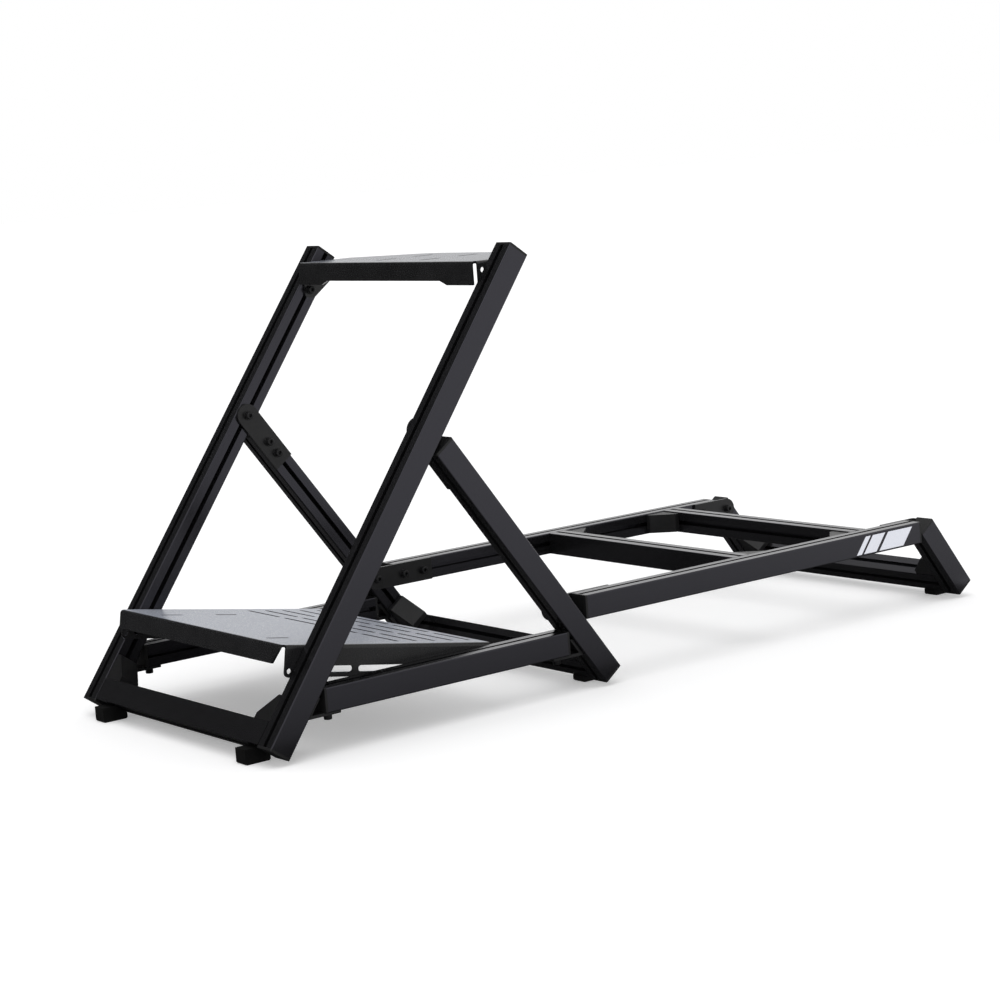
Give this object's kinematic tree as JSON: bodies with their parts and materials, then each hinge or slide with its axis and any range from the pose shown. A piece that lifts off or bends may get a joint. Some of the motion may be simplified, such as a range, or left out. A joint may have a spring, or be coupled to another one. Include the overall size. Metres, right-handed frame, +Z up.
{
  "type": "racing wheel stand",
  "caption": "Open floor stand of black slotted bar that carries a racing wheel on a high deck, pedals on a low sloping deck and a seat on rails behind them.",
  "frame": {"origin": "under the middle of the stand's box, at floor level", "axes": "+X to the right side, +Y to the seat end, +Z up; the pedals are at the -Y end"},
  "size_m": [0.6, 1.584, 0.7549],
  "materials": {
    "anodised_bar": "satin black anodised",
    "coated_sheet": "satin black powder coat",
    "cast_bracket": "satin black powder coat on die casting",
    "cap_plastic": "matt black moulded",
    "foot_rubber": "matt black"
  },
  "bodies": {
    "root": {"upright_left": "anodised_bar", "upright_right": "anodised_bar", "rear_leg_left": "anodised_bar", "rear_leg_right": "anodised_bar", "base_rail_left": "anodised_bar", "base_rail_right": "anodised_bar", "seat_rail_left": "anodised_bar", "seat_rail_right": "anodised_bar", "tail_leg_left": "anodised_bar", "tail_leg_right": "anodised_bar", "end_caps_left": "cap_plastic", "end_caps_right": "cap_plastic", "leg_plate_left": "coated_sheet", "leg_plate_right": "coated_sheet", "seat_plate_left": "coated_sheet", "seat_plate_right": "coated_sheet", "tail_plate_left": "coated_sheet", "tail_plate_right": "coated_sheet", "base_strap_front_left": "coated_sheet", "base_strap_front_right": "coated_sheet", "base_strap_rear_left": "coated_sheet", "base_strap_rear_right": "coated_sheet", "front_bracket_left": "cast_bracket", "front_bracket_right": "cast_bracket", "rear_bracket_left": "cast_bracket", "rear_bracket_right": "cast_bracket", "tail_bracket_left": "cast_bracket", "tail_bracket_right": "cast_bracket", "seat_front_bracket_left": "cast_bracket", "seat_front_bracket_right": "cast_bracket", "seat_rear_bracket_left": "cast_bracket", "seat_rear_bracket_right": "cast_bracket", "front_foot_left": "foot_rubber", "front_foot_right": "foot_rubber", "middle_foot_left": "foot_rubber", "middle_foot_right": "foot_rubber", "tail_foot_left": "foot_rubber", "tail_foot_right": "foot_rubber", "front_crossbar": "anodised_bar", "rear_crossbar": "anodised_bar", "tail_crossbar": "anodised_bar", "seat_crossbar_front": "anodised_bar", "seat_crossbar_rear": "anodised_bar", "wheel_deck": "coated_sheet", "pedal_deck": "coated_sheet"}
  },
  "joints": []
}
